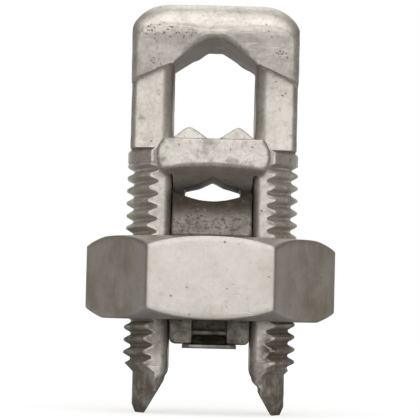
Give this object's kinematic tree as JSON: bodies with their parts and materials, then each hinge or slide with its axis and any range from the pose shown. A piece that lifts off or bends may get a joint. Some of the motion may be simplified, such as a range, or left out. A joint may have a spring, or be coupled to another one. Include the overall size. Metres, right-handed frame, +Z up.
{
  "type": "split bolt connector",
  "caption": "Tin-plated split bolt connector whose hexagon nut drives a pressure bar up between the threaded legs, to clamp a tap wire and a run wire under the arched head.",
  "frame": {"origin": "on the floor, midway between the two leg tips, under the bolt's axis", "axes": "+Z up along the bolt's axis towards the head, +X to the right in the picture from one leg to the other, -Y towards the camera along the wires' way through"},
  "size_m": [0.0366, 0.0318, 0.0597],
  "materials": {
    "tinned_forging": "tin plating over a forged copper alloy, matt with fine pits",
    "tinned_nut": "tin plating over a machined copper alloy, fine tool marks",
    "tinned_casting": "tin plating over a cast copper alloy, speckled",
    "tinned_bar": "tin plating over a cast copper alloy, dull and stained",
    "tinned_strip": "tin plating over a stamped copper alloy strip, smooth"
  },
  "bodies": {
    "bolt": {"stud": "tinned_forging"},
    "bar": {"pressure_bar": "tinned_bar", "retaining_clip": "tinned_strip"},
    "nut": {"nut": "tinned_nut"},
    "spacer": {"spacer": "tinned_casting"}
  },
  "joints": [
    {"name": "nut_travel", "type": "slide", "parent": "bolt", "child": "bar", "axis": [0, 0, 1], "range_m": [-0.01815, 0.00545]},
    {"name": "nut_turn", "type": "hinge", "parent": "bar", "child": "nut", "pos_m": [0, 0, 0.01955], "axis": [0, 0, 1], "range_deg": [-3600, 1080]},
    {"name": "spacer_lift", "type": "slide", "parent": "bar", "child": "spacer", "axis": [0, 0, 1], "range_m": [0, 0.0049]}
  ],
  "couplings": [
    {"joint": "nut_travel", "follows": "nut_turn", "m_per_rad": 0.00028875}
  ]
}
